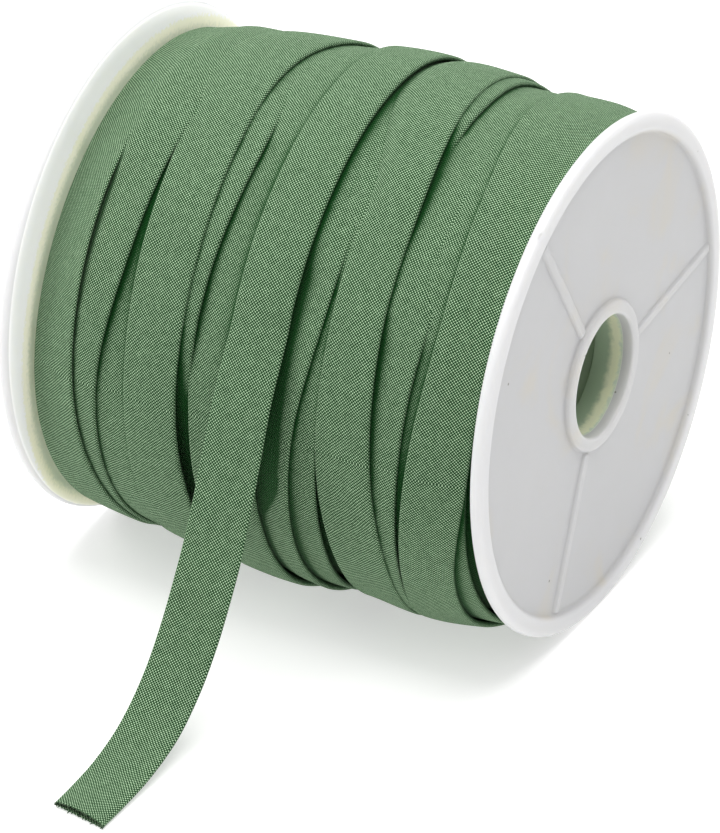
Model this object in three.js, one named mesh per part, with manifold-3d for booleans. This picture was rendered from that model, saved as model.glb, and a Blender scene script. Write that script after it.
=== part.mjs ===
// A roll of bias binding: folded cotton tape wound on a moulded plastic spool that lies on its
// rims, with the tape's loose end running off the front of the roll and down onto the surface.
// Millimetres, +Z up, X along the spool's axis, the loose end towards -Y. The origin lies on the
// surface, under the middle of the whole object.

import * as THREE from "three";
import { mergeVertices } from "three/addons/utils/BufferGeometryUtils.js";
import Module from "manifold-3d";

const wasm = await Module();
wasm.setup();

// ---------------------------------------------------------------- driving dimensions

const FLANGE_RADIUS = 52.5;
const OVERALL_LENGTH = 106;       // over the outer faces of both rims
const RIM_THICKNESS = 2.6;
const RIM_DEPTH = 4.3;            // radial width of the raised rim
const WEB_THICKNESS = 1.5;
const BORE_RADIUS = 12.45;
const COLLAR_RADIUS = 15.2;       // raised ring round the bore
const SPIGOT_RADIUS = 14.0;       // short sleeve that the hub tube slides over
const SPIGOT_LENGTH = 6;
const RIB_WIDTH = 2.0;
const RIB_HEIGHT = 0.5;
const RIB_ANGLES = [-68, 57, 173];
const REST_FLAT_DEPTH = 0.15;     // sliver taken off each rim where it stands
const HUB_INNER_RADIUS = 14.3;
const HUB_OUTER_RADIUS = 16.0;
const CLEARANCE = 0.3;            // between neighbouring pieces
const ROLL_FLOOR_GAP = 0.8;       // left between the sagging turns and the surface
const TAPE_WIDTH = 12;
const TAPE_THICKNESS = 1.2;       // face and both folded-in edges, pressed but springy
const AXIS_Y = 30.77;             // spool's axis, behind the middle of the whole object
const AXIS_Z = FLANGE_RADIUS - REST_FLAT_DEPTH;

const INNER_FACE = OVERALL_LENGTH / 2 - RIM_THICKNESS;
const ROLL_HALF = INNER_FACE - CLEARANCE;

// Angles go round the axis in degrees: 0 faces the front (-Y), 90 is the crown, -90 underneath.

// Radius of the wound cloth, before the relief of single turns, along the axis.
const PROFILE_X = [-50.4, -36.7, -23.6, -10.5, 5.2, 18.4, 31.5, 42.0, 50.4];
const PROFILE_ROWS = [
  { angle: 30, radius: [49.6, 50.9, 51.2, 51.4, 51.6, 51.4, 51.3, 51.2, 50.0] },
  { angle: 120, radius: [49.6, 50.5, 50.9, 51.7, 52.3, 51.7, 51.3, 51.7, 50.1] },
  { angle: 215, radius: [50.3, 51.0, 51.5, 51.9, 52.2, 52.0, 51.8, 51.5, 50.6] },
  { angle: 305, radius: [50.1, 51.5, 53.1, 54.1, 54.7, 53.6, 54.2, 53.0, 52.0] },
];

// The outermost turn on the far side leans down towards its flange over the crown and front.
const SHOULDER = { from: -36.7, drop: 6.5, middle: 48, halfArc: 110 };

// Edges of the turns that show, from the far flange to the near one. `at` gives the place along
// the axis for each angle of EDGE_ANGLES, `groove` how deep the crease is for each of
// RELIEF_ANGLES, and `lift` how far the turn before the edge stands proud.
const EDGE_ANGLES = [120, 90, 60, 30, 0, -30, -55, -90, -150];
const RELIEF_ANGLES = [90, 0, -70, -160];
const EDGES = [
  {
    lift: 0.2, groove: [0.2, 1.4, 1.6, 0.4],
    at: [-36.6, -36.7, -36.9, -37.1, -37.1, -35.6, -33.9, -34.5, -36.0],
  },
  {
    lift: 0.0, groove: [0.2, 1.6, 1.4, 0.4],
    at: [-25.6, -25.8, -26.8, -28.4, -31.8, -32.8, -32.2, -31.0, -28.0],
  },
  {
    lift: -0.5, groove: [0.2, 0.8, 1.2, 0.3],
    at: [-24.2, -24.4, -25.2, -25.1, -25.2, -25.9, -26.4, -26.0, -25.0],
  },
  {
    lift: 0.5, groove: [0.9, 2.0, 2.0, 0.6],
    at: [-13.6, -15.3, -14.2, -13.2, -13.1, -12.4, -12.6, -13.5, -14.5],
  },
  {
    lift: -1.4, groove: [0.4, 1.2, 1.2, 0.4],
    at: [-11.2, -11.2, -9.2, -10.3, -10.9, -10.3, -10.8, -11.5, -12.0],
  },
  {
    lift: -0.1, groove: [0.9, 0.8, 0.8, 0.6],
    at: [-7.6, -4.4, -2.3, -2.7, -4.2, -3.0, -2.5, -3.0, -6.0],
  },
  {
    lift: 0.0, groove: [1.2, 1.2, 1.0, 0.6],
    at: [8.0, 7.9, 8.1, 9.4, 7.5, 5.0, 5.5, 5.0, 5.0],
  },
  {
    lift: 0.0, groove: [0.3, 1.4, 1.8, 0.4],
    at: [10.5, 11.0, 14.9, 15.5, 12.0, 9.9, 9.0, 8.5, 9.5],
  },
  {
    lift: -0.5, groove: [0.2, 0.6, 1.6, 0.4],
    at: [12.6, 12.8, 16.1, 16.7, 17.2, 17.8, 17.0, 15.5, 14.0],
  },
  {
    lift: 0.7, groove: [1.2, 1.4, 1.4, 0.6],
    at: [21.2, 23.3, 26.7, 27.8, 29.3, 30.4, 29.0, 27.0, 23.0],
  },
  {
    lift: 0.2, groove: [0.2, 2.0, 1.2, 0.4],
    at: [36.2, 37.0, 38.9, 36.7, 35.1, 33.0, 31.0, 30.5, 34.0],
  },
  {
    lift: -0.9, groove: [0.3, 0.5, 0.8, 0.3],
    at: [37.6, 38.4, 40.6, 39.3, 36.8, 34.5, 32.4, 32.0, 36.0],
  },
  {
    lift: 0.7, groove: [0.2, 1.2, 1.8, 0.4],
    at: [48.4, 48.6, 48.8, 49.1, 48.7, 44.2, 41.5, 42.0, 47.0],
  },
];
const LAST_LIFT = -0.5;           // the turn against the near flange
const GROOVE_HALF_WIDTH = 0.35;
const CROWN_RELIEF = 0.5;         // the turns are drawn flatter over the crown
const TOP_TURN = 6;               // row of EDGES that ends the turn which runs off as the loose end
const TOP_TURN_LIFT = 1.0;
const TOP_TURN_LEAVES = 33;       // angle where that turn leaves the roll
const TOP_TURN_STARTS = 285;
const ROLL_STATIONS = 60;

// The loose end's middle line from the roll to its cut end, about the spool's axis:
// x along the axis, out towards the front, up from the axis.
const LOOSE_END = [
  { x: 3.3, out: 46.9, up: 23.6 },
  { x: 3.3, out: 50.3, up: 17.2 },
  { x: 3.3, out: 54.4, up: 9.0 },
  { x: 3.25, out: 58.1, up: 0.2 },
  { x: 3.15, out: 61.6, up: -8.4 },
  { x: 3.0, out: 65.3, up: -17.2 },
  { x: 2.75, out: 69.8, up: -25.6 },
  { x: 2.4, out: 74.8, up: -33.8 },
  { x: 2.0, out: 80.8, up: -41.2 },
  { x: 1.6, out: 88.6, up: -47.2 },
  { x: 1.4, out: 98.0, up: -50.4 },
  { x: 1.25, out: 106.7, up: -51.55 },
  { x: 1.2, out: 113.5, up: -51.72 },
];
const LOOSE_STATIONS = 28;
const CUT_SLANT = 2.2;            // how much further the cut end reaches on its near side

// ---------------------------------------------------------------- finishes

const plastic = new THREE.MeshStandardMaterial({ color: 0xe9eae8, roughness: 0.4, metalness: 0 });
const cotton = new THREE.MeshStandardMaterial({ color: 0x64875f, roughness: 0.9, metalness: 0 });

// ---------------------------------------------------------------- helpers

const radians = THREE.MathUtils.degToRad;
const wrap = (angle) => ((angle % 360) + 360) % 360;

/** Value at `angle` of a smooth closed curve through `values` at `angles` (degrees, any order). */
function around(angles, values, angle) {
  const knots = angles.map((a, i) => [wrap(a), values[i]]).sort((a, b) => a[0] - b[0]);
  const count = knots.length;
  const knot = (i) => {
    const turn = Math.floor(i / count);
    const [a, v] = knots[i - turn * count];
    return [a + 360 * turn, v];
  };
  const target = wrap(angle);
  let i = -1;
  while (knot(i + 1)[0] <= target) i += 1;
  const [[a0, v0], [a1, v1], [a2, v2], [a3, v3]] = [knot(i - 1), knot(i), knot(i + 1), knot(i + 2)];
  const span = a2 - a1;
  const t = (target - a1) / span;
  const start = ((v2 - v0) / (a2 - a0)) * span;
  const end = ((v3 - v1) / (a3 - a1)) * span;
  return (
    v1 * (1 + 2 * t) * (1 - t) ** 2 + start * t * (1 - t) ** 2
    + v2 * t * t * (3 - 2 * t) - end * t * t * (1 - t)
  );
}

/** Straight-line value at x of a table of rising xs. */
function along(xs, values, x) {
  const i = Math.max(1, Math.min(xs.length - 1, xs.findIndex((v) => v >= x)));
  const t = (x - xs[i - 1]) / (xs[i] - xs[i - 1]);
  return values[i - 1] + t * (values[i] - values[i - 1]);
}

/** A bell that is 1 at 0 and falls to 0 at `halfWidth` on either side. */
function bell(offset, halfWidth) {
  const t = Math.min(1, Math.abs(offset) / halfWidth);
  return 0.5 + 0.5 * Math.cos(Math.PI * t);
}

/** Closed solid through sections of equal point count, closed on itself or capped at its ends. */
function loft(sections, closed) {
  const size = sections[0].length;
  const positions = sections.flat().flatMap((p) => [p.x, p.y, p.z]);
  const index = [];
  const rings = closed ? sections.length : sections.length - 1;
  for (let j = 0; j < rings; j += 1) {
    const next = (j + 1) % sections.length;
    for (let i = 0; i < size; i += 1) {
      const k = (i + 1) % size;
      index.push(j * size + i, j * size + k, next * size + k);
      index.push(j * size + i, next * size + k, next * size + i);
    }
  }
  if (!closed) {
    const last = (sections.length - 1) * size;
    for (let i = 1; i < size - 1; i += 1) {
      index.push(0, i + 1, i);
      index.push(last, last + i, last + i + 1);
    }
  }
  const geometry = new THREE.BufferGeometry();
  geometry.setAttribute("position", new THREE.Float32BufferAttribute(positions, 3));
  geometry.setIndex(index);
  geometry.computeVertexNormals();
  return geometry;
}

/** A ring turned about the X axis from a closed profile of [radius, x] corners. */
function turned(corners, segments) {
  const profile = [...corners, corners[0]].map(([radius, x]) => new THREE.Vector2(radius, x));
  return new THREE.LatheGeometry(profile, segments).rotateZ(-Math.PI / 2);
}

/** A closed geometry as a manifold solid. */
function solidOf(geometry) {
  const bare = geometry.clone();
  bare.deleteAttribute("normal");
  bare.deleteAttribute("uv");
  const merged = mergeVertices(bare, 1e-4);
  const vertProperties = new Float32Array(merged.attributes.position.array);
  const triVerts = new Uint32Array(merged.index.array);
  return new wasm.Manifold(new wasm.Mesh({ numProp: 3, vertProperties, triVerts }));
}

/** A manifold solid as a geometry. */
function geometryOf(solid) {
  const mesh = solid.getMesh();
  const geometry = new THREE.BufferGeometry();
  geometry.setAttribute("position", new THREE.Float32BufferAttribute(mesh.vertProperties, 3));
  geometry.setIndex([...mesh.triVerts]);
  geometry.computeVertexNormals();
  return geometry;
}

/** A named piece of one finish. */
function piece(name, geometry, material) {
  const mesh = new THREE.Mesh(geometry, material);
  mesh.name = name;
  return mesh;
}

// ---------------------------------------------------------------- spool

/** Corners of a flange's section, x measured outwards from the spool's middle. */
function flangeSection() {
  const outer = OVERALL_LENGTH / 2;
  const web = INNER_FACE + WEB_THICKNESS;
  const rimFoot = FLANGE_RADIUS - RIM_DEPTH;
  return [
    [BORE_RADIUS, INNER_FACE - SPIGOT_LENGTH],
    [SPIGOT_RADIUS, INNER_FACE - SPIGOT_LENGTH],
    [SPIGOT_RADIUS, INNER_FACE],
    [FLANGE_RADIUS - 0.7, INNER_FACE],
    [FLANGE_RADIUS, INNER_FACE + 0.8],
    [FLANGE_RADIUS, outer - 0.8],
    [FLANGE_RADIUS - 0.9, outer],
    [rimFoot + 0.9, outer],
    [rimFoot, web],
    [COLLAR_RADIUS + 0.2, web],
    [COLLAR_RADIUS - 0.4, outer],
    [BORE_RADIUS, outer],
  ];
}

/** One rib of the flange's outer face, from the collar to the rim. */
function rib(angle) {
  const length = FLANGE_RADIUS - RIM_DEPTH - COLLAR_RADIUS + 1;
  const sink = 0.5;
  const box = new THREE.BoxGeometry(RIB_HEIGHT + sink, length, RIB_WIDTH);
  box.translate(
    INNER_FACE + WEB_THICKNESS - sink + (RIB_HEIGHT + sink) / 2,
    -(COLLAR_RADIUS - 0.4 + length / 2),
    0,
  );
  return box.rotateX(-radians(angle));
}

/** The near flange: rim, web, collar, ribs and spigot, with the flat that it stands on. */
function flange() {
  let solid = solidOf(turned(flangeSection(), 64));
  for (const angle of RIB_ANGLES) solid = solid.add(solidOf(rib(angle)));
  const below = new THREE.BoxGeometry(OVERALL_LENGTH * 2, FLANGE_RADIUS, FLANGE_RADIUS);
  below.translate(0, 0, -AXIS_Z - FLANGE_RADIUS / 2);
  return geometryOf(solid.subtract(solidOf(below)));
}

/** The tube between the flanges, over their spigots. */
function hub() {
  const half = INNER_FACE - CLEARANCE;
  return turned(
    [
      [HUB_INNER_RADIUS, -half],
      [HUB_OUTER_RADIUS, -half],
      [HUB_OUTER_RADIUS, half],
      [HUB_INNER_RADIUS, half],
    ],
    48,
  );
}

// ---------------------------------------------------------------- wound cloth

/** Radius of the wound cloth at an angle and a place along the axis, without single turns. */
function woundRadius(angle, x) {
  const angles = PROFILE_ROWS.map((row) => row.angle);
  const radii = PROFILE_ROWS.map((row) => along(PROFILE_X, row.radius, x));
  const lean = Math.max(0, (SHOULDER.from - x) / (SHOULDER.from + INNER_FACE));
  const offset = wrap(angle - SHOULDER.middle + 180) - 180;
  return around(angles, radii, angle) - SHOULDER.drop * lean * bell(offset, SHOULDER.halfArc);
}

/** How far turn i stands proud of the wound radius at an angle. */
function liftOf(i, angle) {
  if (i === TOP_TURN) {
    const lies = angle > TOP_TURN_LEAVES && angle < TOP_TURN_STARTS;
    return lies ? TOP_TURN_LIFT : EDGES[i].lift;
  }
  const lift = i < EDGES.length ? EDGES[i].lift : LAST_LIFT;
  return lift * (1 - CROWN_RELIEF * bell(wrap(angle - 110 + 180) - 180, 100));
}

/** Point at an angle, a place along the axis and a radius, kept above the surface. */
function onRoll(angle, x, radius) {
  const turn = radians(angle);
  const lowest = AXIS_Z - ROLL_FLOOR_GAP;
  const reach = Math.min(radius, Math.sin(turn) < 0 ? lowest / -Math.sin(turn) : radius);
  return new THREE.Vector3(x, -reach * Math.cos(turn), reach * Math.sin(turn));
}

/** Section of the wound cloth at one angle: its outside from end to end, then its bore. */
function rollSection(angle) {
  const edges = EDGES.map((edge) => around(EDGE_ANGLES, edge.at, angle));
  const bounds = [-ROLL_HALF, ...edges, ROLL_HALF];
  const points = [];
  for (let i = 0; i < bounds.length - 1; i += 1) {
    const [left, right] = [bounds[i], bounds[i + 1]];
    const lift = liftOf(i, angle);
    const inset = (end) => (Math.abs(end) === ROLL_HALF ? 0 : GROOVE_HALF_WIDTH);
    for (const x of [left + inset(left), (left + right) / 2, right - inset(right)]) {
      points.push(onRoll(angle, x, woundRadius(angle, x) + lift));
    }
    if (i < EDGES.length) {
      const depth = around(RELIEF_ANGLES, EDGES[i].groove, angle);
      const foot = Math.min(lift, liftOf(i + 1, angle)) - depth;
      points.push(onRoll(angle, right, woundRadius(angle, right) + foot));
    }
  }
  const bore = HUB_OUTER_RADIUS + CLEARANCE;
  points.push(onRoll(angle, ROLL_HALF, bore));
  points.push(onRoll(angle, -ROLL_HALF, bore));
  return points;
}

/** The whole wound body with the relief of the turns that show. */
function roll() {
  const sections = [];
  for (let j = 0; j < ROLL_STATIONS; j += 1) sections.push(rollSection((360 * j) / ROLL_STATIONS));
  return loft(sections, true);
}

/** The loose end: a flat band swept along its middle line, lying on the surface at its end. */
function looseEnd() {
  const knots = LOOSE_END.map(({ x, out, up }) => new THREE.Vector3(x, -out, up));
  const line = new THREE.CatmullRomCurve3(knots, false, "centripetal");
  const half = TAPE_WIDTH / 2;
  const thick = TAPE_THICKNESS / 2;
  const corners = [
    [-half, -thick * 0.4], [-half, thick * 0.4], [-half + 0.4, thick], [half - 0.4, thick],
    [half, thick * 0.4], [half, -thick * 0.4], [half - 0.4, -thick], [-half + 0.4, -thick],
  ];
  const sections = [];
  for (let j = 0; j <= LOOSE_STATIONS; j += 1) {
    const t = j / LOOSE_STATIONS;
    const middle = line.getPointAt(t);
    const tangent = line.getTangentAt(t);
    const face = new THREE.Vector3(1, 0, 0).cross(tangent).normalize();
    sections.push(corners.map(([side, rise]) => {
      const slant = ((side / half) * CUT_SLANT * t ** 8) / 2;
      return middle.clone()
        .add(new THREE.Vector3(side, 0, 0))
        .addScaledVector(face, rise)
        .addScaledVector(tangent, slant);
    }));
  }
  return loft(sections, false);
}

// ---------------------------------------------------------------- assembly

const binding = new THREE.Group();
binding.position.set(0, AXIS_Y, AXIS_Z);

binding.add(piece("flange_near", flange(), plastic));
const farSide = solidOf(flange()).mirror([1, 0, 0]);
binding.add(piece("flange_far", geometryOf(farSide), plastic));
binding.add(piece("spool_hub", hub(), plastic));
binding.add(piece("binding_roll", roll(), cotton));
binding.add(piece("loose_end", looseEnd(), cotton));

export default binding;
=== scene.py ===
"""A roll of bias binding: folded cotton tape wound on a milky plastic spool, its loose end out.

The spool lies on its rims with its axis along X, and the tape's loose end runs off the front of
the roll and down onto the surface. Lengths in the classes are millimetres; meshes are metres.
"""

import logging
import math
from dataclasses import dataclass, field
from enum import Enum

import bmesh
import bpy
import numpy as np
from mathutils import Matrix, Vector


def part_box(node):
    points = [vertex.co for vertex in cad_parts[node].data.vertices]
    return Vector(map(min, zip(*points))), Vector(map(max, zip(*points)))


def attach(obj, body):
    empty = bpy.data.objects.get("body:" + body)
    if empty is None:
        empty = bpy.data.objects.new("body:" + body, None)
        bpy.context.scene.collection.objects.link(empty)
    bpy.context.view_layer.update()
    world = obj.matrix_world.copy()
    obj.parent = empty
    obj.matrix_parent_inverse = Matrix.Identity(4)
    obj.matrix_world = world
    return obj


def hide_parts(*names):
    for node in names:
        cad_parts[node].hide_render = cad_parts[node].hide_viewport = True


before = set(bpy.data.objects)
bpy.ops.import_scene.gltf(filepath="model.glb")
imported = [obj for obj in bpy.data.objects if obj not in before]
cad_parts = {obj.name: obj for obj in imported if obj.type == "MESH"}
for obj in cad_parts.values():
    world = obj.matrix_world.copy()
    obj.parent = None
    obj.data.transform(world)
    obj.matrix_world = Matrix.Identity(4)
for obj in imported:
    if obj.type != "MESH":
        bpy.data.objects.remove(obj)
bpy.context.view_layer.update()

LOG = logging.getLogger("bias_binding")
MM = 0.001
# Two places nearer than this, in millimetres, are the same.
SAME = 1e-3
WHITE = (1.0, 1.0, 1.0, 1.0)

# What a shader node's input can be linked from: a node stands for its first output in use.
Source = bpy.types.Node | bpy.types.NodeSocket


class Side(Enum):
    """Which end of the spool a flange stands on."""

    NEAR = 1
    FAR = -1


# ------------------------------------------------------------------ small helpers


def linear(hex_colour: str) -> tuple[float, float, float, float]:
    """Turns an sRGB hex colour into a linear one.

    Args:
        hex_colour: Six hex digits after a hash sign.

    Returns:
        Red, green, blue and an alpha of 1.
    """
    parts = [int(hex_colour[i : i + 2], 16) / 255 for i in (1, 3, 5)]
    flat = [p / 12.92 if p <= 0.04045 else ((p + 0.055) / 1.055) ** 2.4 for p in parts]
    return (flat[0], flat[1], flat[2], 1.0)


def add_node(
    tree: bpy.types.NodeTree,
    kind: str,
    settings: dict[str, object] | None = None,
    sockets: dict[int | str, object] | None = None,
) -> bpy.types.Node:
    """Adds one shader node with its settings, values and links.

    Args:
        tree: The material's node tree.
        kind: The node's type, without its ShaderNode prefix.
        settings: Properties of the node.
        sockets: Input sockets by name or number, each with a value or a source to link from.

    Returns:
        The new node.
    """
    node = tree.nodes.new("ShaderNode" + kind)
    for name, value in (settings or {}).items():
        setattr(node, name, value)
    for name, value in (sockets or {}).items():
        if isinstance(value, bpy.types.Node):
            value = next(output for output in value.outputs if output.enabled)
        if isinstance(value, bpy.types.NodeSocket):
            tree.links.new(value, node.inputs[name])
        else:
            node.inputs[name].default_value = value
    return node


def new_material(name: str) -> tuple[bpy.types.Material, bpy.types.NodeTree]:
    """Makes an empty node material.

    Args:
        name: What the material is.

    Returns:
        The material and its node tree, with no nodes.
    """
    material = bpy.data.materials.new(name)
    material.use_nodes = True
    material.node_tree.nodes.clear()
    return material, material.node_tree


def put_in_scene(name: str, data: bpy.types.ID) -> bpy.types.Object:
    """Puts a mesh, a light or a camera into the scene as an object.

    Args:
        name: The object's name.
        data: What it shows.

    Returns:
        The new object.
    """
    obj = bpy.data.objects.new(name, data)
    bpy.context.scene.collection.objects.link(obj)
    return obj


def finish_piece(
    bm: bmesh.types.BMesh, name: str, material: bpy.types.Material, nodes: tuple[str, ...]
) -> bpy.types.Object:
    """Turns a bmesh into a smooth, dressed object that rides on the part.

    Args:
        bm: The mesh, in metres, in the part's frame. It is freed.
        name: The piece's name.
        material: Its finish.
        nodes: The solids that this piece stands for.

    Returns:
        The new object.
    """
    mesh = bpy.data.meshes.new(name)
    bm.to_mesh(mesh)
    bm.free()
    mesh.polygons.foreach_set("use_smooth", [True] * len(mesh.polygons))
    mesh.materials.append(material)
    obj = put_in_scene(name, mesh)
    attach(obj, "root")
    if nodes:
        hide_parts(*nodes)
    LOG.info("%s: %d faces", name, len(mesh.polygons))
    return obj


def mapped_grid(
    points: np.ndarray, across: np.ndarray, down: np.ndarray, depth: np.ndarray | None = None
) -> bmesh.types.BMesh:
    """Makes a grid whose corners lie at given points, with a UV map in metres.

    Args:
        points: Positions in metres, indexed by station, by place round the section, and x y z.
        across: U in metres at each corner.
        down: V in metres at each corner.
        depth: How hidden each corner is from the light between the turns beside it, from 0 to 1, which the
            cloth turns into painted shade, if any is.

    Returns:
        A bmesh, with corners that coincide merged.
    """
    stations, places = points.shape[0] - 1, points.shape[1] - 1
    bm = bmesh.new()
    bmesh.ops.create_grid(bm, x_segments=stations, y_segments=places, size=0.5)
    # Share of hidden light at each corner, which the cloth's material paints as shade.
    painted_crease_shade = bm.verts.layers.float.new("hidden_light_share")
    hidden = np.zeros(across.shape).tolist() if depth is None else depth.tolist()
    where = points.tolist()
    flat = np.stack([across, down], axis=-1).tolist()
    index = {
        v: (round((v.co.x + 0.5) * stations), round((v.co.y + 0.5) * places)) for v in bm.verts
    }
    layer = bm.loops.layers.uv.new("cloth")
    for face in bm.faces:
        for loop in face.loops:
            row, column = index[loop.vert]
            loop[layer].uv = flat[row][column]
    for vert, (row, column) in index.items():
        vert.co = where[row][column]
        vert[painted_crease_shade] = hidden[row][column]
    bmesh.ops.remove_doubles(bm, verts=bm.verts, dist=1e-7)
    bmesh.ops.recalc_face_normals(bm, faces=bm.faces)
    return bm


def hermite(
    a: np.ndarray, b: np.ndarray, lean_a: np.ndarray, lean_b: np.ndarray, t: np.ndarray
) -> np.ndarray:
    """Runs smoothly from a to b as t goes from 0 to 1, with the given slopes at the ends."""
    return (
        a * (1 + 2 * t) * (1 - t) ** 2
        + lean_a * t * (1 - t) ** 2
        + b * t * t * (3 - 2 * t)
        - lean_b * t * t * (1 - t)
    )


def around(angles: list[float], values: list[float], where: np.ndarray) -> np.ndarray:
    """Values of a smooth closed curve through a few values round the roll.

    Args:
        angles: Angles of the given values in degrees, in any order.
        values: The given values.
        where: Angles in degrees at which the curve is wanted.

    Returns:
        The curve's values there.
    """
    order = np.argsort(np.mod(angles, 360.0))
    knots = np.mod(angles, 360.0)[order]
    given = np.asarray(values, float)[order]
    knots = np.concatenate([knots[-2:] - 360, knots, knots[:2] + 360])
    given = np.concatenate([given[-2:], given, given[:2]])
    slope = (given[2:] - given[:-2]) / (knots[2:] - knots[:-2])
    slope = np.concatenate([[0.0], slope, [0.0]])
    target = np.mod(where, 360.0)
    i = np.searchsorted(knots, target, side="right") - 1
    span = knots[i + 1] - knots[i]
    t = (target - knots[i]) / span
    return hermite(given[i], given[i + 1], slope[i] * span, slope[i + 1] * span, t)


def smooth_line(knots: tuple[float, ...], values: tuple[float, ...], where: np.ndarray) -> np.ndarray:
    """Values of a smooth open curve through a few values.

    Args:
        knots: Places of the given values, rising.
        values: The given values.
        where: Places at which the curve is wanted.

    Returns:
        The curve's values there, held level beyond both ends.
    """
    place, given = np.asarray(knots, float), np.asarray(values, float)
    slope = np.gradient(given, place)
    target = np.clip(where, place[0], place[-1])
    i = np.clip(np.searchsorted(place, target, side="right") - 1, 0, place.size - 2)
    span = place[i + 1] - place[i]
    t = (target - place[i]) / span
    return hermite(given[i], given[i + 1], slope[i] * span, slope[i + 1] * span, t)


def smoothstep(low: float, high: float, value: np.ndarray | float) -> np.ndarray | float:
    """Eases from 0 at low to 1 at high."""
    t = np.clip((value - low) / (high - low), 0.0, 1.0)
    return t * t * (3 - 2 * t)


def unrolled(points: np.ndarray) -> np.ndarray:
    """Distance along each row of points from the row's own start.

    Args:
        points: Points, indexed by row, by place in the row, and by coordinate.

    Returns:
        The distances, by row and by place, in the points' own unit.
    """
    steps = np.linalg.norm(np.diff(points, axis=1), axis=2)
    return np.concatenate([np.zeros((len(steps), 1)), np.cumsum(steps, axis=1)], axis=1)


def spin_section(section: list[tuple[float, float]], steps: int) -> bmesh.types.BMesh:
    """Spins a closed section all the way round the X axis.

    Args:
        section: Its corners as radius and x, in millimetres.
        steps: How many faces go round.

    Returns:
        The mesh, in millimetres.
    """
    bm = bmesh.new()
    ring = [bm.verts.new((x, 0.0, radius)) for radius, x in section]
    edges = [bm.edges.new((ring[i - 1], ring[i])) for i in range(len(ring))]
    bmesh.ops.spin(
        bm,
        geom=ring + edges,
        axis=(1.0, 0.0, 0.0),
        cent=(0.0, 0.0, 0.0),
        angle=math.tau,
        steps=steps,
        use_merge=True,
    )
    bmesh.ops.remove_doubles(bm, verts=bm.verts, dist=1e-4)
    return bm


def ring_of(vert: bmesh.types.BMVert) -> tuple[float, float]:
    """Radius and x of the ring round the X axis that a vertex lies on."""
    return math.hypot(vert.co.y, vert.co.z), vert.co.x


def on_ring(edge: bmesh.types.BMEdge, radius: float, x: float) -> bool:
    """Whether an edge runs round the X axis at the given radius and x."""
    ends = [ring_of(vert) for vert in edge.verts]
    return all(abs(end[0] - radius) < SAME and abs(end[1] - x) < SAME for end in ends)


def round_edges(
    bm: bmesh.types.BMesh, edges: list[bmesh.types.BMEdge], size: float, segments: int
) -> None:
    """Rounds edges.

    Args:
        bm: The mesh, in millimetres.
        edges: Those of its edges that are rounded.
        size: How wide the rounding is on either side, in millimetres.
        segments: How many faces go across it.
    """
    bmesh.ops.bevel(
        bm,
        geom=edges,
        offset=size,
        offset_type="OFFSET",
        segments=segments,
        profile=0.5,
        affect="EDGES",
        material=-1,
    )


# ------------------------------------------------------------------ finishes

MIX_COLOURS = {"data_type": "RGBA"}
FLAT_NOISE = {"noise_dimensions": "2D"}


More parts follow.
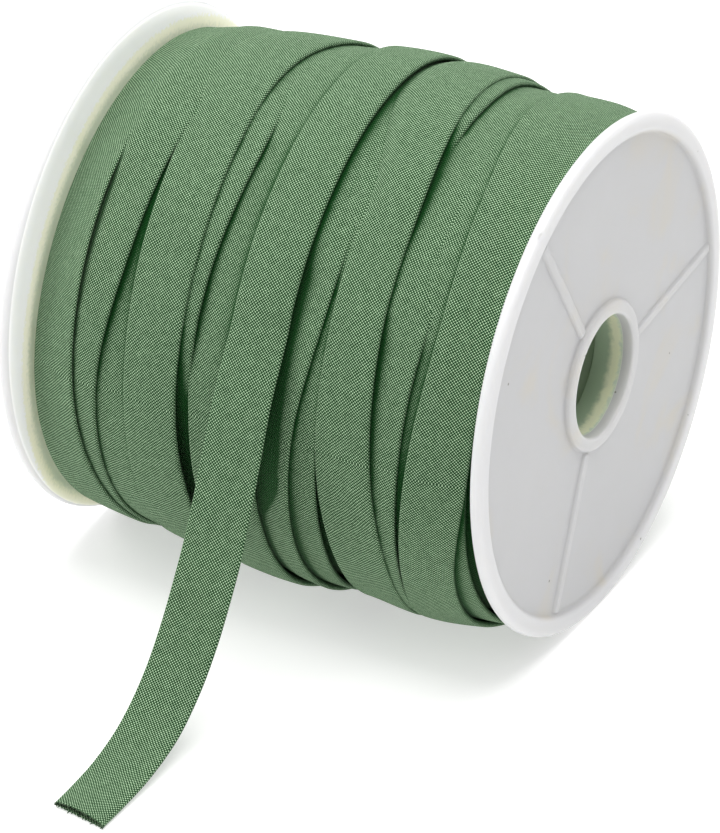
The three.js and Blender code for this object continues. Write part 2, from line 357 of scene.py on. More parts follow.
@dataclass(frozen=True)
class BiasCotton:
    """Plain-woven cotton cut on the bias and pressed.

    It gives the eye a matt green with a fine slanting net of dark pinholes between pale threads, with
    painted shade in the pinholes and low places of the weave, a painted glint on the backs of the threads
    and painted shade in the slots between turns.
    """

    # Spacing of the threads: a plain cotton with about 21 to the centimetre.
    thread_pitch: float = 0.47
    pinhole: str = "#031C0A"
    shade: str = "#295132"
    thread: str = "#54764F"
    glint: str = "#B9D2B1"
    fuzz: str = "#BCDAB6"
    painted_crease_shade: str = "#063A10"
    relief: float = 0.2
    # The net's uneven lie: how far threads stray, and over what length.
    stray: float = 0.4
    stray_over: float = 6.0
    # Size of the patches that are a little paler or darker.
    patch_size: float = 14.0
    # A thread's height as it goes over and under, and how full its back is.
    middle_height: float = 0.55
    height_swing: float = 0.45
    back_power: float = 0.75
    # How far yarn that is spun unevenly adds to that, and how drawn out its thick places are.
    uneven: float = 0.12
    drawn_out: float = 0.22
    # Share of hidden light at which the painted shade in the slots starts, and at which it is full.
    crease_from: float = 0.01
    crease_full: float = 0.3

    def build(self) -> bpy.types.Material:
        """Builds the woven cloth from the piece's own UV map, which is in metres.

        Returns:
            The material.
        """
        material, tree = new_material("bias_cut_cotton")
        uv = add_node(tree, "UVMap", {"uv_map": "cloth"})
        drift = add_node(
            tree, "TexNoise", FLAT_NOISE, {"Vector": uv, "Scale": 1 / (self.stray_over * MM), "Detail": 1.0}
        )
        reach = (self.stray * MM, self.stray * MM, 0.0)
        shift = add_node(
            tree, "VectorMath", {"operation": "MULTIPLY_ADD"}, {0: drift.outputs["Color"], 1: reach, 2: uv}
        )
        pitch = (1 / (self.thread_pitch * MM),) * 3
        turned = add_node(
            tree,
            "Mapping",
            {},
            {"Vector": shift, "Rotation": (0.0, 0.0, math.radians(45)), "Scale": pitch},
        )
        weave, streaks = self.interlace(tree, turned), self.streaks(tree, turned)
        height = add_node(tree, "Math", {"operation": "ADD"}, {0: weave, 1: streaks})
        # The tones by height paint shade into the pinholes and low places and a glint onto the backs of the
        # threads: painted shade and painted highlight.
        tone = add_node(tree, "ValToRGB", {}, {"Fac": height})
        ramp = tone.color_ramp
        ramp.elements[0].position, ramp.elements[0].color = 0.36, linear(self.pinhole)
        ramp.elements[1].position, ramp.elements[1].color = 0.97, linear(self.glint)
        for place, colour in ((0.49, self.shade), (0.7, self.thread)):
            ramp.elements.new(place).color = linear(colour)
        patch = add_node(
            tree, "TexNoise", FLAT_NOISE, {"Vector": uv, "Scale": 1 / (self.patch_size * MM), "Detail": 2.0}
        )
        worn = add_node(tree, "MapRange", {}, {"Value": patch, "To Min": 0.94, "To Max": 1.06})
        colour = add_node(
            tree, "Mix", MIX_COLOURS | {"blend_type": "MULTIPLY"}, {"Factor": 1.0, "A": tone, "B": worn}
        )
        hidden = add_node(tree, "Attribute", {"attribute_name": "hidden_light_share"})
        amount = add_node(
            tree,
            "MapRange",
            {"interpolation_type": "SMOOTHSTEP"},
            {"Value": hidden.outputs["Fac"], "From Min": self.crease_from, "From Max": self.crease_full},
        )
        # Painted shade in the slots between turns, darker where more of the light is hidden.
        deep = add_node(tree, "Mix", MIX_COLOURS, {"Factor": amount, "A": colour, "B": linear(self.painted_crease_shade)})
        bump = add_node(
            tree, "Bump", {}, {"Height": height, "Strength": 0.9, "Distance": self.relief * MM}
        )
        shader = add_node(
            tree,
            "BsdfPrincipled",
            {},
            {
                "Base Color": deep,
                "Roughness": 0.88,
                "Specular IOR Level": 0.06,
                "Sheen Weight": 0.32,
                "Sheen Roughness": 0.4,
                "Sheen Tint": linear(self.fuzz),
                "Normal": bump,
            },
        )
        add_node(tree, "OutputMaterial", {}, {"Surface": shader})
        return material

    def interlace(self, tree: bpy.types.NodeTree, turned: Source) -> bpy.types.Node:
        """Weaves two sets of threads over and under each other.

        Args:
            tree: The material's node tree.
            turned: Where the cloth is, counted in threads each way.

        Returns:
            A node that gives the height, 0 in a pinhole and 1 on the back of a thread.
        """
        axes = add_node(tree, "SeparateXYZ", {}, {"Vector": turned})
        waves = []
        for name in ("X", "Y"):
            phase = add_node(tree, "Math", {"operation": "MULTIPLY"}, {0: axes.outputs[name], 1: math.pi})
            waves.append(add_node(tree, "Math", {"operation": "SINE"}, {0: phase}))
        over = add_node(tree, "Math", {"operation": "MULTIPLY"}, {0: waves[0], 1: waves[1]})
        threads = []
        for wave, swing in ((waves[1], self.height_swing), (waves[0], -self.height_swing)):
            size = add_node(tree, "Math", {"operation": "ABSOLUTE"}, {0: wave})
            dome = add_node(tree, "Math", {"operation": "POWER"}, {0: size, 1: self.back_power})
            lift = add_node(
                tree, "Math", {"operation": "MULTIPLY_ADD"}, {0: over, 1: swing, 2: self.middle_height}
            )
            threads.append(add_node(tree, "Math", {"operation": "MULTIPLY"}, {0: dome, 1: lift}))
        return add_node(tree, "Math", {"operation": "MAXIMUM"}, {0: threads[0], 1: threads[1]})

    def streaks(self, tree: bpy.types.NodeTree, turned: Source) -> bpy.types.Node:
        """Makes single threads thicker or thinner along their length, as spun yarn is.

        Args:
            tree: The material's node tree.
            turned: Where the cloth is, counted in threads each way.

        Returns:
            A node that gives a height to add, above or below 0.
        """
        yarns = []
        for stretch in ((1.0, self.drawn_out, 1.0), (self.drawn_out, 1.0, 1.0)):
            along = add_node(tree, "Mapping", {}, {"Vector": turned, "Scale": stretch})
            yarns.append(
                add_node(tree, "TexNoise", FLAT_NOISE, {"Vector": along, "Scale": 0.9, "Detail": 1.0})
            )
        both = add_node(tree, "Math", {"operation": "ADD"}, {0: yarns[0], 1: yarns[1]})
        return add_node(
            tree, "Math", {"operation": "MULTIPLY_ADD"}, {0: both, 1: self.uneven, 2: -self.uneven}
        )


@dataclass(frozen=True)
class MilkyPlastic:
    """Injection-moulded natural polystyrene, a little translucent.

    It gives the eye a soft white with a low gloss, with faint flow marks and a few specks, and with painted
    light and shade: painted shade makes it greyer where the wall is thin, painted light makes the flanges'
    inner faces near white, with a painted glow and a painted shade along the wound cloth's edge, and the
    cloth's green is painted on where it shows through the sleeve.
    """

    thick: str = "#C9C9CB"
    # Painted shade: the thin web is greyer than the thick rim.
    thin: str = "#B9B9BA"
    tinge: str = "#BEBAB2"
    # Painted light on the flanges' inner faces, as if lit through the plastic.
    lit_through: str = "#FBFBFC"
    # Painted light: the cloth's green as if seen through the sleeve and the tube, paler at the cloth's
    # edge.
    cloth_behind: str = "#A3B69C"
    cloth_edge: str = "#E6EAC4"
    # A painted glow and then a painted shade on the flanges' inner faces along the wound cloth's edge.
    cloth_glow: str = "#F2F2D8"
    cloth_shade: str = "#C3CFBD"
    speck: str = "#77786F"
    # Radius within which the wall is the thin web, and within which it is the sleeve or the hub.
    thin_within: float = 48.3
    sleeve_within: float = 16.55
    # Distances from the spool's middle: below the first lie the flanges' inner faces, and below
    # the second the cloth is behind the sleeve.
    face_within: float = 50.5
    sleeve_from: float = 50.6
    # Radius of the wound cloth's edge, and how far it falls short of that where the roll leans
    # away, which it does most towards one angle above the front.
    brim_at: float = 51.3
    lean_at: float = math.radians(48)
    lean_drop: float = 7.4
    flow_size: float = 22.0
    speck_spacing: float = 10.0
    grain_size: float = 3.0

    def build(self, axis: "SpoolAxis") -> bpy.types.Material:
        """Builds the plastic from the piece's object coordinates.

        Args:
            axis: The axis from which the radius is measured.

        Returns:
            The material.
        """
        material, tree = new_material("moulded_milky_polystyrene")
        place = add_node(tree, "TexCoord").outputs["Object"]
        centre = (0.0, axis.y * MM, axis.z * MM)
        centred = add_node(tree, "VectorMath", {"operation": "SUBTRACT"}, {0: place, 1: centre})
        axes = add_node(tree, "SeparateXYZ", {}, {"Vector": centred}).outputs
        spoke = add_node(tree, "CombineXYZ", {}, {"Y": axes["Y"], "Z": axes["Z"]})
        radius = add_node(tree, "VectorMath", {"operation": "LENGTH"}, {0: spoke})
        depth = add_node(tree, "Math", {"operation": "ABSOLUTE"}, {0: axes["X"]})
        flow = add_node(
            tree,
            "TexNoise",
            {},
            {"Vector": place, "Scale": 1 / (self.flow_size * MM), "Detail": 4.0, "Distortion": 1.2},
        )
        colour = add_node(
            tree,
            "Mix",
            MIX_COLOURS,
            {"Factor": self.fade(tree, flow, 0.48, 0.75), "A": linear(self.thin), "B": linear(self.tinge)},
        )
        # Painted shade: inside this radius the web takes the greyer colour.
        rim = self.fade(tree, radius, self.thin_within * MM, (self.thin_within + 1.2) * MM)
        colour = add_node(tree, "Mix", MIX_COLOURS, {"Factor": rim, "A": colour, "B": linear(self.thick)})
        colour = self.brim(tree, spoke, radius, depth, colour)
        colour = self.sleeve(tree, radius, depth, colour)
        dust = add_node(
            tree, "TexVoronoi", {}, {"Vector": place, "Scale": 1 / (self.speck_spacing * MM)}
        )
        dot = self.fade(tree, dust, 0.035, 0.02)
        colour = add_node(tree, "Mix", MIX_COLOURS, {"Factor": dot, "A": colour, "B": linear(self.speck)})
        polish = add_node(tree, "MapRange", {}, {"Value": flow, "To Min": 0.34, "To Max": 0.55})
        grain = add_node(
            tree, "TexNoise", {}, {"Vector": place, "Scale": 1 / (self.grain_size * MM), "Detail": 3.0}
        )
        bump = add_node(tree, "Bump", {}, {"Height": grain, "Strength": 0.15, "Distance": 0.1 * MM})
        shader = add_node(
            tree,
            "BsdfPrincipled",
            {},
            {
                "Base Color": colour,
                "Roughness": polish,
                "IOR": 1.5,
                "Subsurface Weight": 0.8,
                "Subsurface Radius": (1.0, 0.97, 0.88),
                "Subsurface Scale": 6.0 * MM,
                "Normal": bump,
            },
        )
        add_node(tree, "OutputMaterial", {}, {"Surface": shader})
        return material

    def fade(self, tree: bpy.types.NodeTree, value: Source, low: float, high: float) -> bpy.types.Node:
        """Fades smoothly from 0 at low to 1 at high, where low may be the larger of the two."""
        smooth = {"interpolation_type": "SMOOTHSTEP"}
        return add_node(tree, "MapRange", smooth, {"Value": value, "From Min": low, "From Max": high})

    def wavering(
        self, tree: bpy.types.NodeTree, value: Source, size: float, reach: float
    ) -> bpy.types.Node:
        """Adds a ragged drift to a distance.

        Args:
            tree: The material's node tree.
            value: The distance in metres.
            size: The size of the ragged tufts in millimetres.
            reach: How far they reach in millimetres.

        Returns:
            A node that gives the distance with its drift.
        """
        place = add_node(tree, "TexCoord").outputs["Object"]
        ragged = add_node(
            tree, "TexNoise", {}, {"Vector": place, "Scale": 1 / (size * MM), "Detail": 3.0}
        )
        return add_node(
            tree, "Math", {"operation": "MULTIPLY_ADD"}, {0: ragged, 1: reach * MM, 2: value}
        )

    def brim(
        self, tree: bpy.types.NodeTree, spoke: Source, radius: Source, depth: Source, body: Source
    ) -> bpy.types.Node:
        """Paints light onto the flanges' inner faces, then a painted glow and a painted shade along the
        wound cloth's edge on them.

        Args:
            tree: The material's node tree.
            spoke: The way out from the axis.
            radius: Distance from the axis.
            depth: Distance from the middle of the spool.
            body: The plastic's own colour.

        Returns:
            A node that gives the colour with its painted light and shade.
        """
        lean = (0.0, -math.cos(self.lean_at), math.sin(self.lean_at))
        facing = add_node(tree, "VectorMath", {"operation": "DOT_PRODUCT"}, {0: spoke, 1: lean})
        share = add_node(tree, "Math", {"operation": "DIVIDE"}, {0: facing, 1: radius})
        leaning = add_node(tree, "Math", {"operation": "MAXIMUM"}, {0: share, 1: 0.0})
        level = add_node(
            tree, "Math", {"operation": "MULTIPLY_ADD"}, {0: leaning, 1: self.lean_drop * MM, 2: radius}
        )
        ragged = self.wavering(tree, level, 0.8, 2.2)
        # Painted light over the inner faces.
        inner = self.fade(tree, depth, (self.face_within + 0.2) * MM, self.face_within * MM)
        colour = add_node(
            tree, "Mix", MIX_COLOURS, {"Factor": inner, "A": body, "B": linear(self.lit_through)}
        )
        # Painted glow, then painted shade, towards the wound cloth's edge.
        for tint, above, full in ((self.cloth_glow, 2.6, 1.6), (self.cloth_shade, 1.2, -1.4)):
            near = self.fade(tree, ragged, (self.brim_at + above) * MM, (self.brim_at + full) * MM)
            amount = add_node(tree, "Math", {"operation": "MULTIPLY"}, {0: near, 1: inner})
            colour = add_node(
                tree, "Mix", MIX_COLOURS, {"Factor": amount, "A": colour, "B": linear(tint)}
            )
        return colour

    def sleeve(
        self, tree: bpy.types.NodeTree, radius: Source, depth: Source, body: Source
    ) -> bpy.types.Node:
        """Paints onto the sleeve and the tube the green of the wound cloth behind them, standing in for
        light coming through the plastic.

        Args:
            tree: The material's node tree.
            radius: Distance from the axis.
            depth: Distance from the middle of the spool.
            body: The plastic's own colour.

        Returns:
            A node that gives the colour with the painted cloth showing through.
        """
        inside = self.fade(tree, radius, (self.sleeve_within + 0.1) * MM, self.sleeve_within * MM)
        ragged = self.wavering(tree, depth, 1.1, 1.6)
        edge, deep = (
            self.fade(tree, ragged, (self.sleeve_from + above) * MM, (self.sleeve_from + full) * MM)
            for above, full in ((0.8, -0.2), (-0.9, -2.6))
        )
        # The cloth's green painted on, paler at its edge, standing in for light through the plastic.
        tints = {"Factor": deep, "A": linear(self.cloth_edge), "B": linear(self.cloth_behind)}
        tinted = add_node(tree, "Mix", MIX_COLOURS, tints)
        share = add_node(tree, "Math", {"operation": "MULTIPLY"}, {0: inside, 1: edge})
        return add_node(tree, "Mix", MIX_COLOURS, {"Factor": share, "A": body, "B": tinted})


@dataclass(frozen=True)
class FloorCard:
    """White light table under the roll, which gives the eye a plain bright ground."""

    colour: str = "#D0D0CF"
    glow: float = 0.5

    def build(self) -> bpy.types.Material:
        """Builds the card's finish, which glows a little of its own.

        Returns:
            The material.
        """
        material, tree = new_material("matt_white_card")
        shader = add_node(
            tree,
            "BsdfPrincipled",
            {},
            {
                "Base Color": linear(self.colour),
                "Roughness": 0.9,
                "Specular IOR Level": 0.1,
                "Emission Color": WHITE,
                "Emission Strength": self.glow,
            },
        )
        add_node(tree, "OutputMaterial", {}, {"Surface": shader})
        return material


# ------------------------------------------------------------------ spool


@dataclass
class SpoolAxis:
    """The spool's axis, read from the near flange's solid."""

    radius: float
    y: float
    z: float

    @classmethod
    def from_frame(cls) -> "SpoolAxis":
        """Finds the axis from the solid's box: its width is the flange's diameter.

        Returns:
            The axis, with its radius that of the flange.
        """
        low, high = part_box("flange_near")
        radius = (high[1] - low[1]) / 2
        return cls(radius / MM, (low[1] + high[1]) / 2 / MM, (high[2] - radius) / MM)

    def spots(self, x: np.ndarray, angle: np.ndarray, radius: np.ndarray) -> np.ndarray:
        """Turns places about the axis into points in metres.

        Args:
            x: Along the axis, in millimetres.
            angle: Round the axis in degrees: 0 faces the front, 90 up.
            radius: From the axis, in millimetres.

        Returns:
            Points, with x y z in the last axis.
        """
        turn = np.radians(angle)
        y = self.y - radius * np.cos(turn)
        z = self.z + radius * np.sin(turn)
        return np.stack([x + 0 * y, y, z], axis=-1) * MM

    def seat(self, bm: bmesh.types.BMesh, facing: int) -> None:
        """Moves a spun mesh from the X axis to the spool's own axis, and into metres.

        Args:
            bm: The mesh, in millimetres.
            facing: 1 to leave it as it is, -1 to mirror it end for end.
        """
        for vert in bm.verts:
            vert.co = Vector((vert.co.x * facing, vert.co.y + self.y, vert.co.z + self.z)) * MM
        bmesh.ops.recalc_face_normals(bm, faces=bm.faces)


@dataclass
class Flange:
    """One moulded flange: rim, recessed web, collar, three ribs and the sleeve for the hub."""

    axis: SpoolAxis
    side: Side
    half_length: float = 53.0
    rim_thickness: float = 2.6
    rim_depth: float = 4.3
    web_thickness: float = 1.5
    web_rings: int = 34
    bore: float = 12.45
    collar: float = 15.2
    sleeve: float = 14.0
    sleeve_length: float = 6.0
    rib_angles: tuple[float, ...] = (-68.0, 57.0, 173.0)
    rib_width: float = 2.0
    rib_slope: float = 0.3
    rib_height: float = 0.5
    # How far the rim is cut off flat where it rests.
    rest_flat: float = 0.15
    steps: int = 720
    bevel_steps: int = 4

    def corners(self) -> list[tuple[float, float, float]]:
        """Works out the corners of the section.

        Returns:
            For each corner its radius, its x and how wide it is rounded.
        """
        rim = self.axis.radius
        inner = self.half_length - self.rim_thickness
        web = inner + self.web_thickness
        foot = rim - self.rim_depth
        web_radii = np.linspace(self.collar + 1.2, foot - 0.9, self.web_rings)
        return [
            (self.bore, inner - self.sleeve_length, 0.2),
            (self.sleeve, inner - self.sleeve_length, 0.3),
            (self.sleeve, inner, 0.0),
            (rim - 4.0, inner, 0.0),
            (rim, inner, 1.1),
            (rim, self.half_length, 1.1),
            (foot + 0.5, self.half_length, 0.8),
            (foot, web, 0.4),
            *[(float(r), web, 0.0) for r in web_radii[::-1]],
            (self.collar + 0.3, web, 0.3),
            (self.collar - 0.2, self.half_length, 0.5),
            (self.bore, self.half_length, 0.5),
        ]

    def rib_lift(self, angle: float, radius: float) -> float:
        """How far the web's outer face is raised by a rib.

        Args:
            angle: Round the axis in degrees.
            radius: From the axis in millimetres.

        Returns:
            The lift in millimetres.
        """
        best = 0.0
        half = self.rib_width / 2
        for rib in self.rib_angles:
            gap = math.radians((angle - rib + 180) % 360 - 180)
            if math.cos(gap) > 0:
                aside = abs(radius * math.sin(gap))
                best = max(best, 1 - smoothstep(half - self.rib_slope, half + self.rib_slope, aside))
        return best * self.rib_height

    def build(self, finish: bpy.types.Material) -> bpy.types.Object:
        """Spins the section, rounds its corners and raises the ribs.

        Args:
            finish: The plastic.

        Returns:
            The flange.
        """
        corners = self.corners()
        bm = spin_section([(radius, x) for radius, x, _ in corners], self.steps)
        for size in sorted({bevel for _, _, bevel in corners if bevel > 0}):
            rings = [(radius, x) for radius, x, bevel in corners if bevel == size]
            edges = [edge for edge in bm.edges if any(on_ring(edge, *ring) for ring in rings)]
            round_edges(bm, edges, size, self.bevel_steps)
        web = self.half_length - self.rim_thickness + self.web_thickness
        floor = self.rest_flat - self.axis.radius
        for vert in bm.verts:
            if abs(vert.co.x - web) < SAME:
                angle = math.degrees(math.atan2(vert.co.z, -vert.co.y))
                vert.co.x += self.rib_lift(angle, math.hypot(vert.co.y, vert.co.z))
            vert.co.z = max(vert.co.z, floor)
        self.axis.seat(bm, self.side.value)
        name = "flange_" + self.side.name.lower()
        return finish_piece(bm, name + "_moulding", finish, (name,))


@dataclass
class HubTube:
    """The tube that the tape is wound on, seen through the bore."""

    axis: SpoolAxis
    inner: float = 14.3
    outer: float = 16.0
    half_length: float = 50.1
    bevel: float = 0.25
    steps: int = 180
    bevel_steps: int = 2

    def build(self, finish: bpy.types.Material) -> bpy.types.Object:
        """Spins the tube's section and softens its ends and the long edges between its facets.

        Args:
            finish: The plastic.

        Returns:
            The tube.
        """
        section = [
            (self.inner, -self.half_length),
            (self.outer, -self.half_length),
            (self.outer, self.half_length),
            (self.inner, self.half_length),
        ]
        bm = spin_section(section, self.steps)
        level = [e for e in bm.edges if abs(ring_of(e.verts[0])[0] - ring_of(e.verts[1])[0]) < SAME]
        round_edges(bm, level, self.bevel, self.bevel_steps)
        self.axis.seat(bm, 1)
        return finish_piece(bm, "hub_tube", finish, ("spool_hub",))


# ------------------------------------------------------------------ wound tape


@dataclass(frozen=True)
class Turn:
    """One turn of tape that shows, by its two edges along the axis at each of EDGE_ANGLES.

    The heights of its edges are how far they stand above the roll's own radius: over the crown,
    at the front and low down. Above the angle given as pressed it is drawn tight and the heights
    over the crown hold; from the angle given as settled down, it comes to those low down.
    """

    name: str
    left: tuple[float, ...]
    right: tuple[float, ...]
    left_heights: tuple[float, float, float]
    right_heights: tuple[float, float, float]
    pressed: float = 75.0
    settled: float = 5.0


EDGE_ANGLES = [120, 90, 60, 30, 0, -30, -55, -90, -150]

# The turns that show, from the far flange to the near one, with those beneath first.
TURNS = [
    Turn(
        "turn_far_under",
        (-35, -35, -35.2, -34.8, -34.7, -35.3, -35.6, -35.5, -35),
        (-23, -23, -23.2, -22.8, -22.7, -23.3, -23.6, -23.5, -23),
        (-0.7, -2.4, -1.3),
        (-0.4, -1.3, -0.8),
        pressed=66,
        settled=35,
    ),
    Turn(
        "turn_far",
        (-42, -42, -41.5, -41, -43, -44.5, -44, -43, -41),
        (-25.6, -25.8, -26.8, -28.1, -31.5, -32.8, -32.2, -31, -28),
        (-0.55, -2.1, -2.2),
        (-0.3, 0.0, -0.3),
        pressed=57,
    ),
    Turn(
        "turn_far_end",
        (-48.8, -48.8, -48.8, -48.9, -48.9, -48, -46.5, -47, -48.4),
        (-36.6, -36.7, -36.9, -37.1, -37.1, -35.6, -33.9, -34.5, -36),
        (0.0, 0.0, 0.0),
        (-0.4, 0.25, 0.2),
        pressed=53,
    ),
    Turn(
        "turn_middle",
        (-16, -16, -15, -14, -10.9, -10.3, -10.8, -11.5, -14),
        (0.8, 0.8, 2.8, 1.7, 1.1, 1.7, 1.2, 0.5, 0),
        (-1.0, -2.3, -0.3),
        (-0.25, 0.1, 0.0),
        pressed=73,
        settled=24,
    ),
    Turn(
        "turn_sliver",
        (-23, -23, -21.2, -22.3, -22.9, -22.3, -22.8, -23.5, -24),
        (-11.2, -11.2, -9.2, -10.3, -10.9, -10.3, -10.8, -11.5, -12),
        (-1.4, -1.4, -3.8),
        (-0.45, -0.25, -3.2),
        pressed=73,
        settled=24,
    ),
    Turn(
        "turn_far_middle",
        (-31, -31, -27.2, -25.8, -25.3, -25.9, -26.4, -26, -28.5),
        (-13.6, -15.3, -14.2, -13.2, -13.1, -12.4, -12.6, -13.5, -14.5),
        (-0.4, -0.5, -0.5),
        (0.6, 0.3, 0.15),
    ),
    Turn(
        "turn_middle_under",
        (9, 9, 9.5, 10.5, 11, 10.8, 9.6, 9, 8),
        (21, 21, 21.5, 22.5, 23, 22.8, 21.6, 21, 20),
        (-1.2, -3.2, -3.4),
        (-1.2, -3.2, -3.4),
    ),
    Turn(
        "turn_nested_low",
        (4, 4.5, 6.5, 7, 5.8, 3.5, 1.6, 1.5, 2.5),
        (16, 16.5, 18.5, 19, 17.4, 15.6, 13.8, 13.5, 14.5),
        (-0.8, -2.2, -2.6),
        (-0.45, -0.6, -0.8),
        pressed=46,
    ),
    Turn(
        "turn_beside_last",
        (-2.8, -0.8, 3.8, 3.8, 0.2, -2.1, -3, -3.5, -2.5),
        (9.2, 11.2, 15.8, 15.8, 12.2, 9.9, 9.0, 8.5, 9.5),
        (-1.2, -3.0, -2.6),
        (-0.45, 0.1, 0.0),
        pressed=46,
    ),
    Turn(
        "turn_near_end",
        (38, 38, 38, 37.9, 36.4, 35, 34.6, 35.5, 37.5),
        (50, 50, 50, 49.9, 48.4, 47, 46.6, 47.5, 49.5),
        (-1.3, -2.0, -2.0),
        (-1.0, -1.2, -1.0),
    ),
    Turn(
        "turn_near_under",
        (30, 30, 31, 30, 28.5, 26.5, 25, 25, 29),
        (41.8, 42.2, 43, 42, 40.5, 38.5, 37, 37, 41),
        (-0.7, -2.0, -3.4),
        (-0.28, -0.3, -1.0),
        pressed=36,
    ),
    Turn(
        "turn_near_middle",
        (18, 20, 23.5, 23.3, 22.5, 20.6, 19, 18.5, 19.5),
        (37.0, 38.0, 40.2, 36.9, 35.1, 32.8, 31.0, 30.5, 34.0),
        (-1.3, -2.3, -2.5),
        (-0.4, 0.0, 0.0),
        pressed=36,
    ),
    Turn(
        "turn_nested",
        (11.9, 13.9, 14.5, 15, 16, 17, 17, 14, 10.9),
        (23.9, 25.9, 26.5, 27, 28, 29, 29, 26, 22.9),
        (-0.8, -1.4, -1.9),
        (0.6, -1.3, -1.6),
    ),
    Turn(
        "turn_over_nested",
        (6, 7.5, 15.3, 16.7, 17.2, 17.8, 17.0, 15.5, 9),
        (21.2, 23.3, 26.9, 27.8, 29.3, 30.4, 29, 27, 23),
        (-0.8, -0.3, -0.2),
        (1.3, 0.4, 0.25),
        pressed=56,
    ),
    Turn(
        "turn_near",
        (33, 34, 38, 39.3, 36.8, 33.2, 30.2, 31, 34.5),
        (49.8, 50, 50.1, 50.1, 48.9, 44.2, 42, 43, 48.6),
        (0.75, 0.8, 0.1),
        (0.0, 0.1, 0.2),
        pressed=60,
    ),
]


@dataclass(frozen=True)
class LastTurn:
    """The last turn, from the loose end over the crown, round the back and up under itself."""

    name: str = "turn_last"
    width: float = 12.1
    # How far its right edge stands above its middle, and its left edge below.
    tilt: float = 0.1
    # Angle round the axis, middle along the axis, height above the roll's own radius.
    course: tuple[tuple[float, float, float], ...] = (
        (27, 3.3, 0.95),
        (60, 2.9, 1.05),
        (90, 1.8, 1.15),
        (120, 0.2, 1.1),
        (150, -0.6, 0.9),
        (210, -1.0, 0.6),
        (270, -1.0, 0.4),
        (305, -3.2, 0.35),
        (315, -2.7, 0.3),
        (330, -2.3, 0.25),
        (345, -2.2, 0.1),
        (360, -1.3, -0.5),
        (385, 1.5, -1.3),
        (405, 3.0, -1.4),
    )
    # How the tape that has left the roll goes on hiding the turns under it: it is not drawn, and only adds
    # painted shade under it.
    overhang: tuple[tuple[float, float, float], ...] = (
        (-46, 3.3, -4.0),
        (-30, 3.3, -1.9),
        (-14, 3.3, -0.2),
        (0, 3.3, 0.6),
        (14, 3.3, 1.0),
        (27, 3.3, 0.95),
    )


@dataclass
class Lie:
    """How a band of tape lies round the roll, with one value of each for every station.

    The angle of the station, the places of both edges along the axis, the heights of both edges,
    and how soon the tape comes up to its right edge's height: 1 evenly, more at once.
    """

    angles: np.ndarray
    left: np.ndarray
    right: np.ndarray
    heights: np.ndarray
    bend: np.ndarray


@dataclass
class TurnEnd:
    """How the last turn lies where it leaves the roll."""

    angle: float
    left: float
    right: float
    thick: float
    under: np.ndarray


